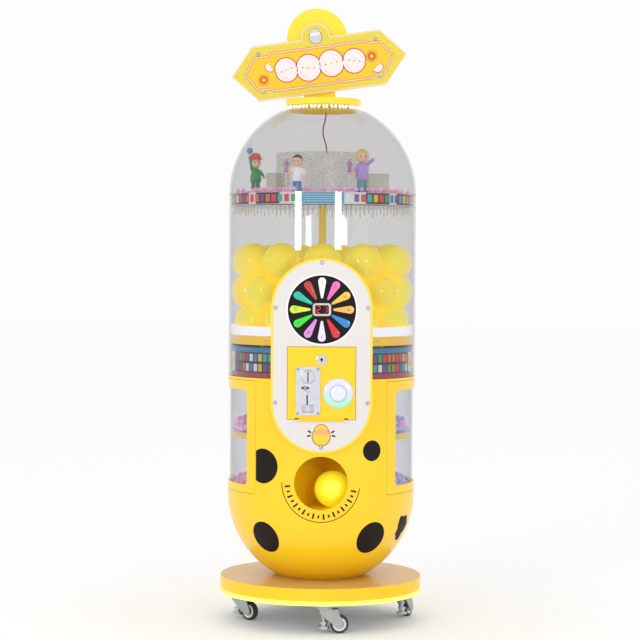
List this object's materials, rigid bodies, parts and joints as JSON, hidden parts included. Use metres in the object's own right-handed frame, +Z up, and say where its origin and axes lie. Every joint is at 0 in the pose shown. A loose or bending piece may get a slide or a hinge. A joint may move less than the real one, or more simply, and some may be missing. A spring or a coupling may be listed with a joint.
{
  "type": "capsule toy vendor",
  "caption": "Free-standing round vending machine that drops toy capsules from a clear domed bin through a front outlet, on levelling casters.",
  "frame": {"origin": "on the floor, at the machine's vertical axis", "axes": "+Z up, front faces -Y, +X to the right seen from the front"},
  "size_m": [0.5639, 0.564, 1.703],
  "materials": {
    "yellow_paint": "powder-coated yellow, smooth gloss",
    "yellow_plastic": "moulded glossy yellow",
    "warm_diffuser": "opal light diffuser, warm yellow",
    "white_diffuser": "opal light diffuser, cool white",
    "zinc_steel": "zinc plated steel",
    "cast_alloy": "die-cast, satin",
    "case_white": "white inner lining",
    "clear_acrylic": "clear extruded acrylic",
    "band_print": "printed band, dark ground",
    "peach_acrylic": "frosted edge-lit acrylic",
    "gold_glitter": "olive-gold glitter sheet",
    "polished_screw": "polished screw heads",
    "red_wire": "thin sleeved wire",
    "white_panel": "white printed panel",
    "black_plastic": "black moulded",
    "silver_plastic": "silver plated bezel",
    "circuit_green": "printed circuit board",
    "capsule_yellow": "glossy capsule shell",
    "white_nylon": "nylon gear",
    "satin_alloy": "satin plated casting",
    "chrome_lock": "chrome plated",
    "wheel_rubber": "dark rubber tyre on a pale hub"
  },
  "bodies": {
    "cabinet": {"base_disc": "yellow_paint", "base_light_ring": "warm_diffuser", "base_plate": "zinc_steel", "bin_floor": "yellow_plastic", "capsules": "capsule_yellow", "cash_box": "zinc_steel", "caster_plates": "zinc_steel", "centre_pole": "yellow_plastic", "clear_cylinder": "clear_acrylic", "clear_dome": "clear_acrylic", "cover_screws": "polished_screw", "deck_plate": "zinc_steel", "display_module": "silver_plastic", "display_tray": "clear_acrylic", "drop_chute": "black_plastic", "electronics": "circuit_green", "front_housing": "yellow_plastic", "front_panel": "white_panel", "gearmotor": "zinc_steel", "inset_band": "yellow_plastic", "left_case": "case_white", "light_rim": "white_diffuser", "lower_shell": "yellow_paint", "outlet_box": "yellow_paint", "power_inlet": "black_plastic", "right_case": "case_white", "roulette_board": "black_plastic", "sign_board": "peach_acrylic", "sign_face": "gold_glitter", "sign_stand": "yellow_plastic", "sign_wire": "red_wire", "top_cap": "yellow_plastic", "tray_band": "band_print", "tray_drum": "clear_acrylic"},
    "rotor": {"star_rotor": "yellow_plastic"},
    "pinion": {"drive_pinion": "white_nylon"},
    "service_door": {"service_door": "yellow_paint", "coin_acceptor": "satin_alloy"},
    "coin_reject": {"coin_reject": "satin_alloy"},
    "coin_flap": {"coin_flap": "satin_alloy"},
    "push_button": {"push_button": "white_diffuser"},
    "lock_plug": {"lock_plug": "chrome_lock"},
    "left_door": {"left_door": "yellow_paint", "left_window": "clear_acrylic"},
    "right_door": {"right_door": "yellow_paint", "right_window": "clear_acrylic"},
    "rear_door": {"rear_door": "yellow_paint"},
    "rear_latch": {"rear_latch": "chrome_lock"},
    "fork_front": {"caster_fork_front": "cast_alloy"},
    "wheel_front": {"caster_wheel_front": "wheel_rubber"},
    "foot_front": {"caster_foot_front": "zinc_steel"},
    "fork_right": {"caster_fork_right": "cast_alloy"},
    "wheel_right": {"caster_wheel_right": "wheel_rubber"},
    "foot_right": {"caster_foot_right": "zinc_steel"},
    "fork_back": {"caster_fork_back": "cast_alloy"},
    "wheel_back": {"caster_wheel_back": "wheel_rubber"},
    "foot_back": {"caster_foot_back": "zinc_steel"},
    "fork_left": {"caster_fork_left": "cast_alloy"},
    "wheel_left": {"caster_wheel_left": "wheel_rubber"},
    "foot_left": {"caster_foot_left": "zinc_steel"}
  },
  "joints": [
    {"name": "rotor_spin", "type": "hinge", "parent": "cabinet", "child": "rotor", "pos_m": [0, 0, 0.785], "axis": [0, 0, 1], "continuous": true},
    {"name": "pinion_spin", "type": "hinge", "parent": "cabinet", "child": "pinion", "pos_m": [0, 0.08, 0.745], "axis": [0, 0, 1], "continuous": true},
    {"name": "service_door_hinge", "type": "hinge", "parent": "cabinet", "child": "service_door", "pos_m": [0, -0.2715, 0.576], "axis": [1, 0, 0], "range_deg": [0, 90]},
    {"name": "coin_reject_press", "type": "slide", "parent": "service_door", "child": "coin_reject", "axis": [0, 1, 0], "range_m": [0, 0.003], "stiffness_N_per_m": 250, "springref_m": -0.002},
    {"name": "coin_flap_hinge", "type": "hinge", "parent": "service_door", "child": "coin_flap", "pos_m": [-0.036, -0.27175, 0.6158], "axis": [1, 0, 0], "range_deg": [0, 55]},
    {"name": "push_button_press", "type": "slide", "parent": "service_door", "child": "push_button", "axis": [0, 1, 0], "range_m": [0, 0.004], "stiffness_N_per_m": 300, "springref_m": -0.002},
    {"name": "lock_turn", "type": "hinge", "parent": "service_door", "child": "lock_plug", "pos_m": [0, -0.271, 0.737], "axis": [0, -1, 0], "range_deg": [0, 90]},
    {"name": "left_door_hinge", "type": "hinge", "parent": "cabinet", "child": "left_door", "pos_m": [-0.18018, 0.19322, 0.52], "axis": [0, 0, 1], "range_deg": [-100, 0]},
    {"name": "right_door_hinge", "type": "hinge", "parent": "cabinet", "child": "right_door", "pos_m": [0.18018, 0.19322, 0.52], "axis": [0, 0, 1], "range_deg": [0, 100]},
    {"name": "rear_door_hinge", "type": "hinge", "parent": "cabinet", "child": "rear_door", "pos_m": [0.1321, 0.2288, 0.53], "axis": [0, 0, 1], "range_deg": [-90, 0]},
    {"name": "rear_latch_turn", "type": "hinge", "parent": "rear_door", "child": "rear_latch", "pos_m": [-0.09318, 0.24273, 0.53], "axis": [-0.3584, 0.9336, 0], "range_deg": [-90, 0]},
    {"name": "swivel_front", "type": "hinge", "parent": "cabinet", "child": "fork_front", "pos_m": [0.01003, -0.22978, 0.07], "axis": [0, 0, 1], "continuous": true},
    {"name": "roll_front", "type": "hinge", "parent": "fork_front", "child": "wheel_front", "pos_m": [0.05203, -0.22978, 0.025], "axis": [0, -1, 0], "continuous": true},
    {"name": "level_front", "type": "slide", "parent": "fork_front", "child": "foot_front", "axis": [0, 0, -1], "range_m": [0, 0.012]},
    {"name": "swivel_right", "type": "hinge", "parent": "cabinet", "child": "fork_right", "pos_m": [0.22978, 0.01003, 0.07], "axis": [0, 0, 1], "continuous": true},
    {"name": "roll_right", "type": "hinge", "parent": "fork_right", "child": "wheel_right", "pos_m": [0.24552, 0.04897, 0.025], "axis": [0.9272, -0.3746, 0], "continuous": true},
    {"name": "level_right", "type": "slide", "parent": "fork_right", "child": "foot_right", "axis": [0, 0, -1], "range_m": [0, 0.012]},
    {"name": "swivel_back", "type": "hinge", "parent": "cabinet", "child": "fork_back", "pos_m": [-0.01003, 0.22978, 0.07], "axis": [0, 0, 1], "continuous": true},
    {"name": "roll_back", "type": "hinge", "parent": "fork_back", "child": "wheel_back", "pos_m": [-0.0495, 0.21542, 0.025], "axis": [-0.342, 0.9397, 0], "continuous": true},
    {"name": "level_back", "type": "slide", "parent": "fork_back", "child": "foot_back", "axis": [0, 0, -1], "range_m": [0, 0.012]},
    {"name": "swivel_left", "type": "hinge", "parent": "cabinet", "child": "fork_left", "pos_m": [-0.22978, -0.01003, 0.07], "axis": [0, 0, 1], "continuous": true},
    {"name": "roll_left", "type": "hinge", "parent": "fork_left", "child": "wheel_left", "pos_m": [-0.19624, -0.03531, 0.025], "axis": [-0.6018, -0.7986, 0], "continuous": true},
    {"name": "level_left", "type": "slide", "parent": "fork_left", "child": "foot_left", "axis": [0, 0, -1], "range_m": [0, 0.012]}
  ],
  "couplings": [
    {"joint": "pinion_spin", "follows": "rotor_spin", "ratio": -3}
  ]
}
